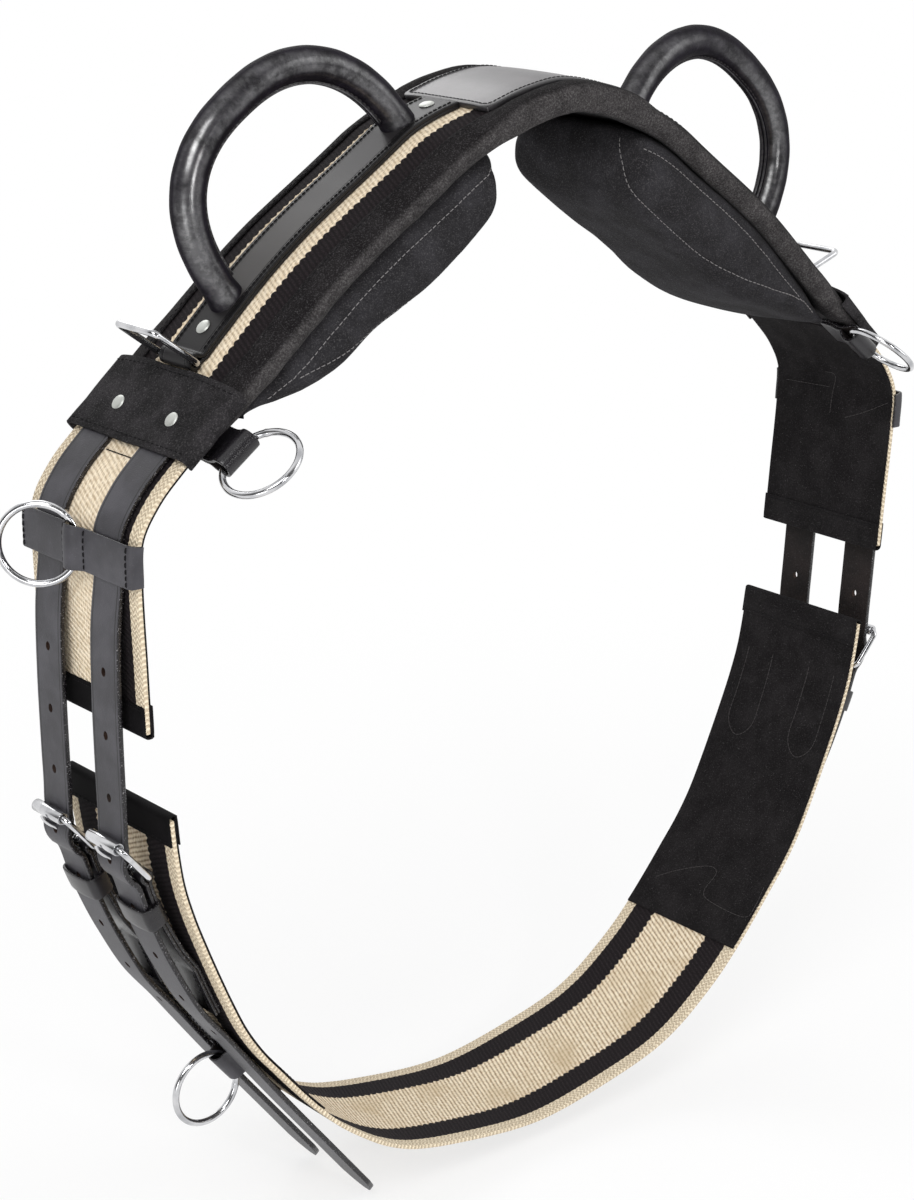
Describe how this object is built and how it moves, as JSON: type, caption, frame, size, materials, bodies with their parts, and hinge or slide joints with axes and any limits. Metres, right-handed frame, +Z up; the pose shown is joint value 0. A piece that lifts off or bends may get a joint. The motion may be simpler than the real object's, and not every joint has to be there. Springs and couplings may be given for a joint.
{
  "type": "lunging surcingle",
  "caption": "Padded webbing band with hoop handles over the withers, buckled by leather billets to a webbing girth, with swinging rings to clip side reins and long lines to.",
  "frame": {"origin": "Underside of the base pad at the withers, on the plane of symmetry and midway between the front and rear edges", "axes": "+X to the surcingle's right side, with the swinging front rings on the -Y edge, -Y towards the horse's head, +Z up"},
  "size_m": [0.7572, 0.1864, 0.771],
  "materials": {
    "webbing": "coarse cream jute webbing with black stripes and cream selvedges",
    "suede": "matte black suede",
    "strap_leather": "satin dark grey bridle leather with black edges",
    "grip_leather": "semi-gloss black leather, sewn round the handle",
    "nickel": "polished nickel plate",
    "steel": "plain, hidden inside the leather"
  },
  "bodies": {
    "surcingle": {"base_pad": "suede", "billet_left_front": "strap_leather", "billet_left_rear": "strap_leather", "billet_right_front": "strap_leather", "billet_right_rear": "strap_leather", "bridge_plate": "strap_leather", "buckle_frame_left_front": "nickel", "buckle_frame_left_rear": "nickel", "buckle_frame_right_front": "nickel", "buckle_frame_right_rear": "nickel", "chape_left_front": "strap_leather", "chape_left_rear": "strap_leather", "chape_right_front": "strap_leather", "chape_right_rear": "strap_leather", "crosspiece_left": "strap_leather", "crosspiece_right": "strap_leather", "flap_lining_left": "suede", "flap_lining_right": "suede", "front_ring_tab_left": "strap_leather", "front_ring_tab_right": "strap_leather", "girth_lining_left": "suede", "girth_lining_right": "suede", "girth_ring_tab_left": "strap_leather", "girth_ring_tab_right": "strap_leather", "girth_web": "webbing", "handle_cover_left": "grip_leather", "handle_cover_right": "grip_leather", "handle_frame_left": "steel", "handle_frame_right": "steel", "handle_strip_left": "strap_leather", "handle_strip_right": "strap_leather", "panel_left": "suede", "panel_right": "suede", "patch_left": "suede", "patch_right": "suede", "rivet_lower_left": "nickel", "rivet_lower_right": "nickel", "rivet_upper_left": "nickel", "rivet_upper_right": "nickel", "side_flap_left": "webbing", "side_flap_right": "webbing", "top_web": "webbing"},
    "cross_ring_left": {"cross_ring_left": "nickel"},
    "front_ring_left": {"front_ring_left": "nickel"},
    "girth_ring_left": {"girth_ring_left": "nickel"},
    "square_ring_left": {"square_ring_left": "nickel"},
    "roller_left_front": {"roller_left_front": "nickel"},
    "prong_left_front": {"prong_left_front": "nickel"},
    "roller_left_rear": {"roller_left_rear": "nickel"},
    "prong_left_rear": {"prong_left_rear": "nickel"},
    "cross_ring_right": {"cross_ring_right": "nickel"},
    "front_ring_right": {"front_ring_right": "nickel"},
    "girth_ring_right": {"girth_ring_right": "nickel"},
    "square_ring_right": {"square_ring_right": "nickel"},
    "roller_right_front": {"roller_right_front": "nickel"},
    "prong_right_front": {"prong_right_front": "nickel"},
    "roller_right_rear": {"roller_right_rear": "nickel"},
    "prong_right_rear": {"prong_right_rear": "nickel"}
  },
  "joints": [
    {"name": "cross_ring_left_swing", "type": "hinge", "parent": "surcingle", "child": "cross_ring_left", "pos_m": [-0.34197, 0, -0.24014], "axis": [0.0416, 0, 0.9991], "range_deg": [-42, 125]},
    {"name": "front_ring_left_swing", "type": "hinge", "parent": "surcingle", "child": "front_ring_left", "pos_m": [-0.27601, -0.06811, -0.17933], "axis": [0.8013, 0, 0.5982], "range_deg": [-94, 150]},
    {"name": "girth_ring_left_swing", "type": "hinge", "parent": "surcingle", "child": "girth_ring_left", "pos_m": [-0.234, 0, -0.61257], "axis": [0.6484, 0, -0.7613], "range_deg": [-80, 80]},
    {"name": "square_ring_left_swing", "type": "hinge", "parent": "surcingle", "child": "square_ring_left", "pos_m": [-0.26703, 0, -0.13712], "axis": [0, 1, 0], "range_deg": [-47, 74]},
    {"name": "roller_left_front_turn", "type": "hinge", "parent": "surcingle", "child": "roller_left_front", "pos_m": [-0.346, -0.03, -0.4172], "axis": [0, 1, 0], "continuous": true},
    {"name": "prong_left_front_tilt", "type": "hinge", "parent": "surcingle", "child": "prong_left_front", "pos_m": [-0.325, -0.03, -0.4412], "axis": [0, -1, 0], "range_deg": [0, 3]},
    {"name": "roller_left_rear_turn", "type": "hinge", "parent": "surcingle", "child": "roller_left_rear", "pos_m": [-0.346, 0.03, -0.4172], "axis": [0, 1, 0], "continuous": true},
    {"name": "prong_left_rear_tilt", "type": "hinge", "parent": "surcingle", "child": "prong_left_rear", "pos_m": [-0.325, 0.03, -0.4412], "axis": [0, -1, 0], "range_deg": [0, 3]},
    {"name": "cross_ring_right_swing", "type": "hinge", "parent": "surcingle", "child": "cross_ring_right", "pos_m": [0.34197, 0, -0.24014], "axis": [0.0416, 0, -0.9991], "range_deg": [-42, 125]},
    {"name": "front_ring_right_swing", "type": "hinge", "parent": "surcingle", "child": "front_ring_right", "pos_m": [0.27601, -0.06811, -0.17933], "axis": [0.8013, 0, -0.5982], "range_deg": [-94, 150]},
    {"name": "girth_ring_right_swing", "type": "hinge", "parent": "surcingle", "child": "girth_ring_right", "pos_m": [0.234, 0, -0.61257], "axis": [0.6484, 0, 0.7613], "range_deg": [-80, 80]},
    {"name": "square_ring_right_swing", "type": "hinge", "parent": "surcingle", "child": "square_ring_right", "pos_m": [0.26703, 0, -0.13712], "axis": [0, -1, 0], "range_deg": [-32, 89]},
    {"name": "roller_right_front_turn", "type": "hinge", "parent": "surcingle", "child": "roller_right_front", "pos_m": [0.346, -0.03, -0.4172], "axis": [0, 1, 0], "continuous": true},
    {"name": "prong_right_front_tilt", "type": "hinge", "parent": "surcingle", "child": "prong_right_front", "pos_m": [0.325, -0.03, -0.4412], "axis": [0, 1, 0], "range_deg": [0, 3]},
    {"name": "roller_right_rear_turn", "type": "hinge", "parent": "surcingle", "child": "roller_right_rear", "pos_m": [0.346, 0.03, -0.4172], "axis": [0, 1, 0], "continuous": true},
    {"name": "prong_right_rear_tilt", "type": "hinge", "parent": "surcingle", "child": "prong_right_rear", "pos_m": [0.325, 0.03, -0.4412], "axis": [0, 1, 0], "range_deg": [0, 3]}
  ]
}
